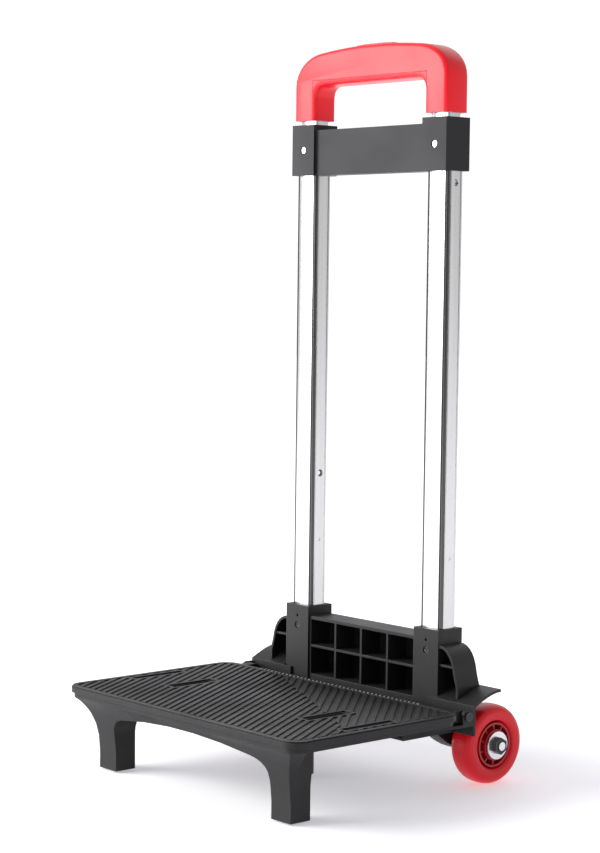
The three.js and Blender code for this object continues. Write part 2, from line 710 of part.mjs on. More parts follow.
// The grip in front view, drawn in by `inset` at the outside and out to `innerX` inside.
function gripOutline(inset, innerX, innerTop, corner) {
  const outer = gripOuter - inset;
  const foot = gripBottom - 8;
  const shoulder = gripBottom + gripShoulder;
  const cornerZ = gripTop - gripCrown - inset;
  const cornerX = gripOuter - gripCornerWidth;
  const round = 0.55; // share of a corner's width and height that makes it a quarter round
  const bendX = cornerX + (outer - cornerX) * round;
  const bendTop = cornerZ - ((bendX - cornerX) * 2 * gripCrown) / cornerX;
  const bendSide = shoulder + (cornerZ - shoulder) * round;
  const shape = new THREE.Shape();
  shape.moveTo(outer, foot);
  shape.lineTo(outer, shoulder);
  shape.bezierCurveTo(outer, bendSide, bendX, bendTop, cornerX, cornerZ);
  shape.quadraticCurveTo(0, cornerZ + 2 * gripCrown, -cornerX, cornerZ);
  shape.bezierCurveTo(-bendX, bendTop, -outer, bendSide, -outer, shoulder);
  shape.lineTo(-outer, foot);
  shape.lineTo(-innerX, foot);
  shape.lineTo(-innerX, innerTop - corner);
  shape.quadraticCurveTo(-innerX, innerTop, corner - innerX, innerTop);
  shape.lineTo(innerX - corner, innerTop);
  shape.quadraticCurveTo(innerX, innerTop, innerX, innerTop - corner);
  shape.lineTo(innerX, foot);
  return shape;
}

const gripFront = tubeY - gripDepth / 2;
const gripBack = tubeY + gripDepth / 2;

function gripWhole() {
  const rounded = {
    bevelEnabled: true,
    bevelSize: gripRound,
    bevelOffset: -gripRound,
    bevelThickness: gripRound,
    bevelSegments: 3,
    depth: gripDepth - 2 * gripRound,
    curveSegments: 8,
  };
  const body = runBack(gripOutline(0, gripInner, openingTop, 12), gripFront, gripBack - gripRound, rounded);
  return cut(body, box(-deckWidth, deckWidth, -deckDepth, deckDepth, 0, gripBottom));
}

function linerZone(clear) {
  const x = gripInner + gripWall + clear;
  const shape = outline([[x, 0], [x, linerTop + clear], [-x, linerTop + clear], [-x, 0]]);
  return runBack(shape, gripFront - 1, gripBack + 1);
}

function gripCavity() {
  const shape = gripOutline(gripWall, gripInner - 2, openingTop - 2, 1);
  const reach = innerDepth / 2 + slide;
  return runBack(shape, tubeY - reach, tubeY + reach);
}

function gripCover() {
  const half = buttonLength / 2 + gap;
  const side = buttonWidth / 2 + gap;
  const buttonHole = box(-half, half, tubeY - side, tubeY + side, buttonBottom, gripTop + 5);
  return cut(gripWhole(), linerZone(gap), gripCavity(), buttonHole);
}

function gripLiner() {
  const way = tubeBody(tubeWall, gripBottom - 1, linerTop + 1);
  const seat = barZ(2.2, linerTop - 2.5, linerTop + 1, 0, tubeY, 12);
  return cut(gripWhole().intersect(linerZone(0)), bothSides(way), seat);
}

function pushButton() {
  const half = buttonLength / 2;
  const side = buttonWidth / 2;
  const slab = box(-half, half, tubeY - side, tubeY + side, buttonBottom, gripTop + 5);
  const dome = gripOutline(-buttonProud, 0.5, buttonBottom - 10, 0.2);
  return slab.intersect(runBack(dome, gripFront, gripBack));
}

// Bridge under the button, stepped down at its ends to clear the grip's round corners.
function yoke() {
  const reach = tubeX + rodRadius + 1.5;
  const step = gripOuter - gripCornerWidth + 11;
  const y0 = tubeY - yokeWidth / 2;
  const y1 = tubeY + yokeWidth / 2;
  const middle = box(-step, step, y0, y1, yokeBottom, yokeBottom + yokeHeight);
  const riser = box(step - yokeHeight, step, y0, y1, yokeEnd, yokeBottom + 1);
  const tab = box(step - 1, reach, y0, y1, yokeEnd, yokeEnd + yokeHeight - 0.6);
  return join(middle, bothSides(join(riser, tab)));
}

function pushRod() {
  return barZ(rodRadius, pinZ + pinRadius + buttonTravel + 1.8, yokeEnd - gap, tubeX, tubeY, 12);
}

const blockInset = tubeWall + slide + innerWall + gap;

function lockBlock() {
  const body = tubeBody(blockInset, innerFoot + 1, innerFoot + blockHeight);
  const pinBore = barX(pinRadius + gap, tubeX - tubeWidth, tubeX + tubeWidth, tubeY, pinZ, 20);
  const rodBore = barZ(rodRadius + 0.5, pinZ, innerFoot + blockHeight + 1, tubeX, tubeY, 16);
  return cut(body, pinBore, rodBore);
}

// Spring catches, one towards the other tube and one away from it.
function lockPin(side) {
  const tip = tubeWidth / 2 - tubeWall - gap;
  const tail = pinTravel + 1.7;
  const body = barX(pinRadius, tubeX + tail, tubeX + tip, tubeY, pinZ, 20);
  const chamfer = barX(pinRadius - 0.7, tubeX + tail, tubeX + tip, tubeY, pinZ, 20);
  const shaft = join(body.intersect(box(tubeX, tubeX + tip - 0.8, 0, 2 * tubeY, 0, barTop)), chamfer);
  return side > 0 ? shaft : mirrored(shaft).translate([2 * tubeX, 0, 0]);
}

function coil(radius, wire, height, turns, steps) {
  const points = [];
  for (let i = 0; i <= turns * steps; i += 1) {
    const angle = (i / steps) * 2 * Math.PI;
    points.push(new THREE.Vector3(
      radius * Math.cos(angle), radius * Math.sin(angle), (height * i) / (turns * steps)));
  }
  const path = new THREE.CatmullRomCurve3(points);
  const section = new THREE.Shape();
  section.absarc(0, 0, wire, 0, Math.PI * 2);
  const options = { extrudePath: path, steps: turns * steps, curveSegments: 2, bevelEnabled: false };
  return solid(new THREE.ExtrudeGeometry(section, options));
}

function buttonSpring() {
  const wire = 0.5;
  const height = yokeBottom - linerTop - 2 * gap - 2 * wire;
  return coil(3.4, wire, height, 4, 8).translate([0, tubeY, linerTop + gap + wire]);
}

function pinSpring() {
  const wire = 0.35;
  const length = 2 * (1.7 - gap - wire);
  const flat = surface(coil(1.5, wire, length, 2, 8)).rotateY(Math.PI / 2);
  return solid(flat).translate([tubeX - length / 2, tubeY, pinZ]);
}

// ---- Wheels --------------------------------------------------------------------------------
function tyre() {
  const crownSteps = 8;
  const section = [];
  const half = wheelWidth / 2;
  const crownFrom = hubRadius + 5.5;
  section.push([hubRadius + gap, wheelX - half + 1.4], [crownFrom - 3, wheelX - half]);
  for (let i = 0; i <= crownSteps; i += 1) {
    const angle = (i / crownSteps) * Math.PI;
    const reach = Math.sin(angle) ** 0.8 * (wheelRadius - crownFrom);
    section.push([crownFrom + reach, wheelX - half * Math.cos(angle)]);
  }
  section.push([crownFrom - 3, wheelX + half], [hubRadius + gap, wheelX + half - 1.4]);
  return spunX(section, 36);
}

function hub() {
  const half = wheelWidth / 2;
  const rim = ringX(hubRadius - hubRim, hubRadius, wheelX - half + 1.6, wheelX + half - 1.6, 36);
  const nave = ringX(bearingOuter - 1.4, hubNave, wheelX - half + 0.2, wheelX + half - 0.2, 24);
  const web = ringX(bearingOuter, hubRadius - 1, wheelX - 1, wheelX + 1, 24);
  const arms = [];
  for (let i = 0; i < spokes; i += 1) {
    const length = hubRadius - hubRim / 2 - bearingOuter - 1;
    const arm = new THREE.BoxGeometry(wheelWidth - 6, 1.6, length);
    arm.translate(0, 0, bearingOuter + 1 + length / 2).rotateX((i / spokes) * Math.PI * 2);
    arms.push(solid(arm.translate(wheelX, axleY, axleZ)));
  }
  const shoulder = bearingGap / 2 - gap;
  const seatIn = barX(bearingOuter + gap, wheelX - half - 1, wheelX - shoulder, axleY, axleZ, 24);
  const seatOut = barX(bearingOuter + gap, wheelX + shoulder, wheelX + half + 1, axleY, axleZ, 24);
  return cut(join(rim, nave, web, ...arms), seatIn, seatOut);
}

function bearing(x0, inner, outer) {
  return ringX(inner, outer, x0, x0 + bearingWidth, 20);
}

const bearingIn = wheelX - wheelWidth / 2 + 0.1;
const bearingOut = wheelX + wheelWidth / 2 - bearingWidth - 0.1;
const boltBore = boltRadius + 0.25;

function axleBolt() {
  const shaft = barX(boltRadius, bossInner + 2, nutX + nutHeight + boltEnd, axleY, axleZ, 24);
  const head = barX(boltHead, bossInner - 0.6, bossInner + 3.2, axleY, axleZ, 28);
  const socket = barX(2.6, bossInner - 2, bossInner + 1.6, axleY, axleZ, 6);
  return cut(join(shaft, head), socket);
}

function axleNut() {
  const hexagon = barX(nutAcross / Math.sqrt(3), nutX + gap, nutX + nutHeight, axleY, axleZ, 6);
  return cut(hexagon, barX(boltBore, nutX - 1, nutX + nutHeight + 1, axleY, axleZ, 24));
}

function innerSpacer() {
  const start = bossInner + bossLength + gap;
  const end = bearingIn - gap;
  const step = start + (end - start) * 0.5;
  return spunX([[boltBore, start], [9, start], [9, step], [6.4, step], [6.4, end], [boltBore, end]], 28);
}

// ---- The whole truck -----------------------------------------------------------------------
place("deck", deck(), blackPlastic);
placePair("foot_plug", barZ(footRadius, 0, footLength, plugX, plugY, 24), rubber);

place("base", base(), blackPlastic);
place("upright_frame", uprightFrame(), blackPlastic);
const pin = join(
  barX(hingeRadius, earInner - 3, cheekOuter + 0.5, hingeY, hingeZ, 16),
  barX(hingeRadius + 1.8, cheekOuter + gap, cheekOuter + 1.6, hingeY, hingeZ, 16),
);
placePair("hinge_pin", pin, steel);

placePair("outer_tube", outerTube(), aluminium);
placePair("socket_screw", frontScrew(socketFront, socketScrewZ), zinc);
place("cross_bar", crossBar(), greyPlastic);
placePair("guide_bush", guideBush(), greyPlastic);
placePair("cross_bar_screw", frontScrew(barFront, barScrewZ), zinc);

placePair("inner_tube", innerTube(), aluminium);
place("grip_cover", gripCover(), redPlastic);
place("grip_liner", gripLiner(), redPlastic);
place("push_button", pushButton(), redPlastic);
place("button_yoke", yoke(), greyPlastic);
place("button_spring", buttonSpring(), steel);
placePair("push_rod", pushRod(), steel);
placePair("lock_block", lockBlock(), greyPlastic);
placePair("lock_pin_inner", lockPin(-1), zinc);
placePair("lock_pin_outer", lockPin(1), zinc);
placePair("pin_spring", pinSpring(), steel);

placePair("tyre", tyre(), redTyre);
placePair("wheel_hub", hub(), redHub);
for (const [name, x] of [["inner", bearingIn], ["outer", bearingOut]]) {
  placePair(`bearing_race_${name}`, bearing(x, bearingInner + bearingRace + gap, bearingOuter), steel);
  placePair(`bearing_core_${name}`, bearing(x, boltBore, bearingInner + bearingRace), steel);
}
const coreSpacer = ringX(boltBore, 6, bearingIn + bearingWidth + gap, bearingOut - gap, 24);
placePair("bearing_spacer", coreSpacer, steel);
placePair("stepped_spacer", innerSpacer(), zinc);
const washerX = wheelX + wheelWidth / 2 + gap;
placePair("wheel_washer", ringX(boltBore, washerRadius, washerX, washerX + washerThick, 36), zinc);
placePair("axle_bolt", axleBolt(), zinc);
placePair("axle_nut", axleNut(), zinc);

truck.position.set(0, -footprintY, 0);

export default truck;
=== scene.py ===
import math

import bmesh
import bpy
from mathutils import Euler, Matrix, Vector


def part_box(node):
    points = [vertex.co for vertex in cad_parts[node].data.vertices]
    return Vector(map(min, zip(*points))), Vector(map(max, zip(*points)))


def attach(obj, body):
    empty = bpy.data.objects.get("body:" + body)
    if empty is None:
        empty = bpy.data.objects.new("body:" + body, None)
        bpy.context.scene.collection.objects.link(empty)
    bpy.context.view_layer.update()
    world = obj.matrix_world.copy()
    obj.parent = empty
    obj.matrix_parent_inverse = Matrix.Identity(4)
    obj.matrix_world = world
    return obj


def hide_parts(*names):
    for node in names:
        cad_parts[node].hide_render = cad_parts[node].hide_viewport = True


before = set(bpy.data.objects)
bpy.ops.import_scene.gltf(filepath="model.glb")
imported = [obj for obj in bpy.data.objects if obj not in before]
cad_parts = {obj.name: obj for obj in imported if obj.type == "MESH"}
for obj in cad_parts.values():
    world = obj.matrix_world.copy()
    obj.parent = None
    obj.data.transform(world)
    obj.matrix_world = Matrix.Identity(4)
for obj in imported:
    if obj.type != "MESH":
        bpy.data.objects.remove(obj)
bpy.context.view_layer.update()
scene = bpy.context.scene

# ---- Camera -------------------------------------------------------------------------
# A long lens a little above the deck, turned to the truck's front right corner, so that
# the front of the deck, one side and the outside of one wheel are all in view.
camera_data = bpy.data.cameras.new("camera")
camera_data.lens = 90.9
camera = bpy.data.objects.new("camera", camera_data)
camera_heading = math.radians(48.6)
camera_pitch = math.radians(-4.1)
camera_roll = math.radians(0.68)
level_turn = Euler((math.pi / 2 + camera_pitch, 0, camera_heading)).to_matrix()
camera.rotation_euler = (level_turn @ Matrix.Rotation(camera_roll, 3, "Z")).to_euler()
camera.location = (1.408, -1.2456, 0.4436)
scene.collection.objects.link(camera)
scene.camera = camera

# ---- Studio -------------------------------------------------------------------------
# A white paper floor with painted glow, its emission growing away from the truck so the
# floor round the truck is painted darker, in a white room. One large soft key light stands
# on the side of the deck's front and a weaker one behind, with a black flag by the camera
# that only shows in gloss.
scene.view_settings.view_transform = "Standard"
room = bpy.data.worlds.new("white_room")
room.use_nodes = True
room_tree = room.node_tree
room_light = room_tree.nodes["Background"]
room_light.inputs["Color"].default_value = (0.98, 0.98, 1.0, 1)
ray = room_tree.nodes.new("ShaderNodeLightPath")
seen = room_tree.nodes.new("ShaderNodeMapRange")
seen.inputs["To Min"].default_value = 0.34
seen.inputs["To Max"].default_value = 1.1
glossy = room_tree.nodes.new("ShaderNodeMath")
glossy.operation = "MULTIPLY_ADD"
glossy.inputs[1].default_value = 0.5
room_tree.links.new(ray.outputs["Is Camera Ray"], seen.inputs["Value"])
room_tree.links.new(ray.outputs["Is Glossy Ray"], glossy.inputs[0])
room_tree.links.new(seen.outputs["Result"], glossy.inputs[2])
room_tree.links.new(glossy.outputs["Value"], room_light.inputs["Strength"])
scene.world = room


def studio_panel(name, centre, width, height, facing):
    sheet = bmesh.new()
    bmesh.ops.create_grid(sheet, x_segments=1, y_segments=1, size=0.5)
    bmesh.ops.scale(sheet, vec=(width, height, 1), verts=sheet.verts)
    turn = Vector(facing).to_track_quat("Z", "Y").to_matrix().to_4x4()
    bmesh.ops.transform(sheet, matrix=Matrix.Translation(centre) @ turn, verts=sheet.verts)
    mesh = bpy.data.meshes.new(name)
    sheet.to_mesh(mesh)
    panel = bpy.data.objects.new(name, mesh)
    scene.collection.objects.link(panel)
    return panel


def soft_light(name, place, size, power, tint):
    data = bpy.data.lights.new(name, "AREA")
    data.shape = "RECTANGLE"
    data.size, data.size_y = size
    data.energy = power
    data.color = tint
    lamp = bpy.data.objects.new(name, data)
    lamp.location = place
    aim = lit_point - Vector(place)
    lamp.rotation_euler = aim.to_track_quat("-Z", "Y").to_euler()
    scene.collection.objects.link(lamp)


floor_side = 14
floor_drop = -0.0003
floor = studio_panel("floor", (0, 0, floor_drop), floor_side, floor_side, (0, 0, 1))
paper = bpy.data.materials.new("white_paper_painted_glow")
paper.use_nodes = True
paper_shader = paper.node_tree.nodes["Principled BSDF"]
paper_shader.inputs["Base Color"].default_value = (0.93, 0.93, 0.95, 1)
paper_shader.inputs["Roughness"].default_value = 0.7
# Painted glow: the floor's emission rises from 0.42 near the truck to 1.0 away from it, painting
# the floor darker round the truck.
paper_shader.inputs["Emission Color"].default_value = (0.965, 0.955, 1, 1)
paper_place = paper.node_tree.nodes.new("ShaderNodeTexCoord")
paper_way = paper.node_tree.nodes.new("ShaderNodeVectorMath")
paper_way.operation = "LENGTH"
painted_floor_glow = paper.node_tree.nodes.new("ShaderNodeMapRange")
painted_floor_glow.inputs["From Min"].default_value = 0.2
painted_floor_glow.inputs["From Max"].default_value = 1.6
painted_floor_glow.inputs["To Min"].default_value = 0.42
painted_floor_glow.inputs["To Max"].default_value = 1.0
paper.node_tree.links.new(paper_place.outputs["Object"], paper_way.inputs[0])
paper.node_tree.links.new(paper_way.outputs["Value"], painted_floor_glow.inputs["Value"])
paper.node_tree.links.new(painted_floor_glow.outputs["Result"], paper_shader.inputs["Emission Strength"])
floor.data.materials.append(paper)

flag = studio_panel("black_flag", (2.3, -2.0, 0.9), 1.5, 3.2, (-0.75, 0.66, 0))
flag_black = bpy.data.materials.new("flag_black")
flag_black.use_nodes = True
flag_black.node_tree.nodes["Principled BSDF"].inputs["Base Color"].default_value = (0, 0, 0, 1)
flag.data.materials.append(flag_black)
flag.visible_camera = False
flag.visible_diffuse = False
flag.visible_shadow = False

lit_point = Vector((0, 0, 0.25))
soft_light("key_light", (-1.7, -2.1, 1.3), (2.2, 2.2), 120, (1.0, 0.99, 0.98))
soft_light("back_light", (-1.2, 2.0, 2.2), (3, 3), 16, (0.95, 0.97, 1.0))

# ---- Moulded black parts ------------------------------------------------------------
# Deck, base and upright frame: glass-filled black plastic from textured steel moulds,
# with a fine grain on every face and slightly polished edges where hands and loads rub.


def rounded_edges_group():
    group = bpy.data.node_groups.new("rounded_edges", "ShaderNodeTree")
    group.interface.new_socket("Radius", in_out="INPUT", socket_type="NodeSocketFloat")
    group.interface.new_socket("Normal", in_out="OUTPUT", socket_type="NodeSocketVector")
    group.interface.new_socket("Edge", in_out="OUTPUT", socket_type="NodeSocketFloat")
    given = group.nodes.new("NodeGroupInput")
    result = group.nodes.new("NodeGroupOutput")
    bevel = group.nodes.new("ShaderNodeBevel")
    bevel.samples = 4
    surface = group.nodes.new("ShaderNodeNewGeometry")
    turned = group.nodes.new("ShaderNodeVectorMath")
    turned.operation = "DOT_PRODUCT"
    edge = group.nodes.new("ShaderNodeMapRange")
    edge.inputs["From Min"].default_value = 0.995
    edge.inputs["From Max"].default_value = 0.85
    group.links.new(given.outputs["Radius"], bevel.inputs["Radius"])
    group.links.new(bevel.outputs["Normal"], turned.inputs[0])
    group.links.new(surface.outputs["Normal"], turned.inputs[1])
    group.links.new(turned.outputs["Value"], edge.inputs["Value"])
    group.links.new(bevel.outputs["Normal"], result.inputs["Normal"])
    group.links.new(edge.outputs["Result"], result.inputs["Edge"])
    return group


def surface_grain_group():
    group = bpy.data.node_groups.new("surface_grain", "ShaderNodeTree")
    for name in ("Grain Scale", "Patch Scale"):
        group.interface.new_socket(name, in_out="INPUT", socket_type="NodeSocketFloat")
    stretch = group.interface.new_socket("Stretch", in_out="INPUT", socket_type="NodeSocketVector")
    stretch.default_value = (1, 1, 1)
    for name in ("Height", "Patch"):
        group.interface.new_socket(name, in_out="OUTPUT", socket_type="NodeSocketFloat")
    given = group.nodes.new("NodeGroupInput")
    result = group.nodes.new("NodeGroupOutput")
    place = group.nodes.new("ShaderNodeTexCoord")
    drawn = group.nodes.new("ShaderNodeVectorMath")
    drawn.operation = "MULTIPLY"
    group.links.new(place.outputs["Object"], drawn.inputs[0])
    group.links.new(given.outputs["Stretch"], drawn.inputs[1])
    for scale, output in (("Grain Scale", "Height"), ("Patch Scale", "Patch")):
        noise = group.nodes.new("ShaderNodeTexNoise")
        noise.inputs["Detail"].default_value = 3
        group.links.new(drawn.outputs["Vector"], noise.inputs["Vector"])
        group.links.new(given.outputs[scale], noise.inputs["Scale"])
        group.links.new(noise.outputs["Fac"], result.inputs[output])
    return group


rounded_edges = rounded_edges_group()
surface_grain = surface_grain_group()
edge_radius = 0.0007


def part_finish(name, low, high, worn, rough, grain, depth, patch=18,
                stretch=(1, 1, 1), metallic=0.0, specular=0.5):
    """A finish that drifts between two tones, with grain, and a worn tone along edges."""
    material = bpy.data.materials.new(name)
    material.use_nodes = True
    tree = material.node_tree
    shader = tree.nodes["Principled BSDF"]
    shader.inputs["Metallic"].default_value = metallic
    shader.inputs["Specular IOR Level"].default_value = specular
    texture = tree.nodes.new("ShaderNodeGroup")
    texture.node_tree = surface_grain
    texture.inputs["Grain Scale"].default_value = grain
    texture.inputs["Patch Scale"].default_value = patch
    texture.inputs["Stretch"].default_value = stretch
    edges = tree.nodes.new("ShaderNodeGroup")
    edges.node_tree = rounded_edges
    edges.inputs["Radius"].default_value = edge_radius
    tone = tree.nodes.new("ShaderNodeMix")
    tone.data_type = "RGBA"
    tone.inputs["A"].default_value = (*low, 1)
    tone.inputs["B"].default_value = (*high, 1)
    rubbed = tree.nodes.new("ShaderNodeMix")
    rubbed.name = "rubbed_colour"
    rubbed.data_type = "RGBA"
    rubbed.inputs["B"].default_value = (*worn, 1)
    roughness = tree.nodes.new("ShaderNodeMapRange")
    roughness.inputs["From Min"].default_value = 0.3
    roughness.inputs["From Max"].default_value = 0.7
    roughness.inputs["To Min"].default_value = rough[0]
    roughness.inputs["To Max"].default_value = rough[1]
    bump = tree.nodes.new("ShaderNodeBump")
    bump.inputs["Distance"].default_value = depth
    bump.inputs["Strength"].default_value = 0.6
    tree.links.new(texture.outputs["Patch"], tone.inputs["Factor"])
    tree.links.new(tone.outputs["Result"], rubbed.inputs["A"])
    tree.links.new(edges.outputs["Edge"], rubbed.inputs["Factor"])
    tree.links.new(rubbed.outputs["Result"], shader.inputs["Base Color"])
    tree.links.new(texture.outputs["Patch"], roughness.inputs["Value"])
    tree.links.new(roughness.outputs["Result"], shader.inputs["Roughness"])
    tree.links.new(texture.outputs["Height"], bump.inputs["Height"])
    tree.links.new(edges.outputs["Normal"], bump.inputs["Normal"])
    tree.links.new(bump.outputs["Normal"], shader.inputs["Normal"])
    return material


merge_distance = 0.00001
crease_angle = math.radians(31)


def curved_faces_group():
    """Merges a part's loose triangles and shades its curved faces smooth."""
    tree = bpy.data.node_groups.new("smooth_curved_faces", "GeometryNodeTree")
    tree.interface.new_socket("Geometry", in_out="INPUT", socket_type="NodeSocketGeometry")
    tree.interface.new_socket("Geometry", in_out="OUTPUT", socket_type="NodeSocketGeometry")
    given = tree.nodes.new("NodeGroupInput")
    result = tree.nodes.new("NodeGroupOutput")
    merge = tree.nodes.new("GeometryNodeMergeByDistance")
    merge.inputs["Distance"].default_value = merge_distance
    smooth = tree.nodes.new("GeometryNodeSetShadeSmooth")
    smooth.domain = "FACE"
    crease = tree.nodes.new("GeometryNodeSetShadeSmooth")
    crease.domain = "EDGE"
    crease.inputs["Shade Smooth"].default_value = False
    angle = tree.nodes.new("GeometryNodeInputMeshEdgeAngle")
    sharp = tree.nodes.new("FunctionNodeCompare")
    sharp.operation = "GREATER_THAN"
    sharp.inputs["B"].default_value = crease_angle
    tree.links.new(given.outputs["Geometry"], merge.inputs["Geometry"])
    tree.links.new(merge.outputs["Geometry"], smooth.inputs["Geometry"])
    tree.links.new(smooth.outputs["Geometry"], crease.inputs["Geometry"])
    tree.links.new(angle.outputs["Unsigned Angle"], sharp.inputs["A"])
    tree.links.new(sharp.outputs["Result"], crease.inputs["Selection"])
    tree.links.new(crease.outputs["Geometry"], result.inputs["Geometry"])
    return tree


smooth_curved_faces = curved_faces_group()


def dress(part_names, material):
    for name in part_names:
        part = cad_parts[name]
        for slot in part.material_slots:
            slot.material = material
        part.modifiers.new("smooth_curved_faces", "NODES").node_group = smooth_curved_faces


def pair(*names):
    return [f"{name}_{side}" for name in names for side in ("right", "left")]


black_plastic = part_finish("black_plastic", (0.009, 0.009, 0.0095), (0.015, 0.015, 0.016),
                            (0.045, 0.045, 0.047), (0.42, 0.58), grain=1100, depth=0.0003,
                            specular=0.3)
dress(["deck", "base", "upright_frame"], black_plastic)

# ---- Deck tread ---------------------------------------------------------------------
# The deck's top has a smooth raised rim, smooth borders round the strap slots, and
# slanting ribs that change their slant at the back. All of it is cut in the mould, so
# it is one with the deck.


def add_piece(name, sheet, material, body):
    mesh = bpy.data.meshes.new(name)
    sheet.to_mesh(mesh)
    sheet.free()
    mesh.materials.append(material)
    piece = bpy.data.objects.new(name, mesh)
    scene.collection.objects.link(piece)
    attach(piece, body)
    return piece


deck_low, deck_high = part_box("deck")
deck_lip_inset = 0.0012
rim_width = 0.0045
rim_groove = 0.0016
tread_height = 0.0012
tread_sunk = 0.0006
tread_pitch = 0.0071
tread_share = 0.5
tread_slant = Vector((0.861, 0.507, 0))
back_slant = Vector((0.742, 0.671, 0))
turn_point = Vector((-0.057, 0.0306, 0))
turn_slant = Vector((-0.47, -0.883, 0))
tread_corner = 0.0145
tread_lift = 0.00005
tread_reach = 0.2
deck_rear = 0.0466
deck_depth = 0.19
slot_rooms = [(0.09, 0.0056, 0.0245), (0.1405, 0.0036, 0.028)]
slots_back = 0.0965
slot_middle = deck_rear - slots_back
slot_border = 0.0026
smooth_face, groove_face = 1, 2


def in_slot(point, margin=0):
    return any(abs(abs(point.x) - x) < half + margin
               and abs(point.y - slot_middle) < length + margin
               for x, half, length in slot_rooms)


def is_past_turn(point):
    return (point - turn_point).dot(turn_slant) < 0


def is_rib(point):
    across = back_slant if is_past_turn(point) else tread_slant
    return (point.dot(across) / tread_pitch) % 1 < tread_share


def cut_sheet(sheet, faces, point, normal):
    parts = list({item for face in faces for item in (*face.verts, *face.edges)}) + list(faces)
    bmesh.ops.bisect_plane(sheet, geom=parts, dist=1e-7, plane_co=point, plane_no=normal)


tread = bmesh.new()
bmesh.ops.create_grid(tread, x_segments=1, y_segments=1, size=0.5)
tread_width = deck_high.x - deck_low.x - 2 * deck_lip_inset
tread_size = Vector((tread_width, deck_depth - 2 * deck_lip_inset, 1))
bmesh.ops.scale(tread, vec=tread_size, verts=tread.verts)
tread_top = deck_high.z + tread_lift
bmesh.ops.translate(tread, vec=(0, deck_rear - deck_depth / 2, tread_top), verts=tread.verts)
bmesh.ops.bevel(tread, geom=tread.verts[:], offset=tread_corner, segments=8, profile=0.5,
                affect="VERTICES", material=-1)
rim_tag = tread.faces.layers.int.new("rim")
rim = bmesh.ops.inset_region(tread, faces=tread.faces[:], thickness=rim_width,
                             use_boundary=True, use_even_offset=True)["faces"]
for face in rim:
    face[rim_tag] = smooth_face
field = [face for face in tread.faces if not face[rim_tag]]
groove = bmesh.ops.inset_region(tread, faces=field, thickness=rim_groove,
                                use_boundary=True, use_even_offset=True)["faces"]
for face in groove:
    face[rim_tag] = groove_face
for x, half, length in slot_rooms:
    for margin in (0, slot_border):
        for side in (-1, 1):
            for edge in (x - half - margin, x + half + margin):
                cut_sheet(tread, tread.faces[:], (side * edge, 0, 0), (1, 0, 0))
        for end in (-length - margin, length + margin):
            cut_sheet(tread, tread.faces[:], (0, slot_middle + end, 0), (0, 1, 0))
over_slots = [face for face in tread.faces if in_slot(face.calc_center_median())]
bmesh.ops.delete(tread, geom=over_slots, context="FACES")
for face in tread.faces:
    if in_slot(face.calc_center_median(), slot_border):
        face[rim_tag] = smooth_face
cut_sheet(tread, [face for face in tread.faces if not face[rim_tag]], turn_point, turn_slant)
for past_turn in (True, False):
    across = back_slant if past_turn else tread_slant
    reach = int(tread_reach / tread_pitch)
    for step in range(-reach, reach):
        for share in (0, tread_share):
            zone = [face for face in tread.faces if not face[rim_tag]
                    and is_past_turn(face.calc_center_median()) == past_turn]
            cut_sheet(tread, zone, across * (step + share) * tread_pitch, across)
raised = [face for face in tread.faces if face[rim_tag] == smooth_face
          or (not face[rim_tag] and is_rib(face.calc_center_median()))]
ribs = bmesh.ops.extrude_face_region(tread, geom=raised)["geom"]
rib_points = [item for item in ribs if isinstance(item, bmesh.types.BMVert)]
bmesh.ops.translate(tread, vec=(0, 0, tread_height), verts=rib_points)
bmesh.ops.delete(tread, geom=[face for face in raised if face.is_valid], context="FACES_ONLY")
bmesh.ops.recalc_face_normals(tread, faces=tread.faces[:])
open_edges = [edge for edge in tread.edges if edge.is_boundary]
skirt = bmesh.ops.extrude_edge_only(tread, edges=open_edges)["geom"]
skirt_points = [item for item in skirt if isinstance(item, bmesh.types.BMVert)]
for point in skirt_points:
    point.co.z = tread_top - tread_sunk
bmesh.ops.recalc_face_normals(tread, faces=tread.faces[:])
add_piece("deck_tread", tread, black_plastic, "deck")

# ---- Deck's rear teeth --------------------------------------------------------------
# A row of small square teeth along the deck's rear edge, moulded on it, which keep a
# load from sliding back against the tubes. They are painted a lighter grey than the deck,
# with still lighter edges, as painted highlight.
teeth = bmesh.new()
tooth_pitch = 0.0052
tooth_size = (0.0026, 0.0034, 0.002)
tooth_inset = 0.0026
tooth_rise = 0.0009
tooth_bevel = 0.0004
teeth_each_way = 20
for step in range(-teeth_each_way, teeth_each_way + 1):
    tooth = bmesh.ops.create_cube(teeth, size=1)["verts"]
    bmesh.ops.scale(teeth, vec=tooth_size, verts=tooth)
    place = (step * tooth_pitch, deck_rear - tooth_inset, deck_high.z + tooth_rise)
    bmesh.ops.translate(teeth, vec=place, verts=tooth)
bmesh.ops.bevel(teeth, geom=teeth.edges[:], offset=tooth_bevel, segments=1, profile=0.5,
                affect="EDGES", material=-1)
# Painted highlight: a grey well above the deck's black, lighter still at the edges.
teeth_painted_highlight = part_finish("plastic_painted_highlight", (0.05, 0.05, 0.052), (0.075, 0.075, 0.078),
                           (0.3, 0.3, 0.31), (0.28, 0.4), grain=1500, depth=0.0001)
add_piece("rear_teeth", teeth, teeth_painted_highlight, "deck")

# ---- Ejector marks ------------------------------------------------------------------
# Round witness marks that the mould's ejector pins leave on the deck's underside. Each
# stands a little proud of the plate.
marks = bmesh.new()
deck_plate = 0.003
mark_foot, mark_root = 0.0032, 0.0036
mark_height = 0.0008
mark_drop = 0.0002
deck_underside = deck_high.z - deck_plate
for side in (-1, 1):
    for x in (0.026, 0.052, 0.078, 0.1225):
        for y in (-0.03, -0.0855):
            disc = bmesh.ops.create_cone(marks, cap_ends=True, segments=28, radius1=mark_foot,
                                         radius2=mark_root, depth=mark_height)["verts"]
            place = (side * x, y, deck_underside - mark_drop)
            bmesh.ops.translate(marks, vec=place, verts=disc)
add_piece("ejector_marks", marks, black_plastic, "deck")

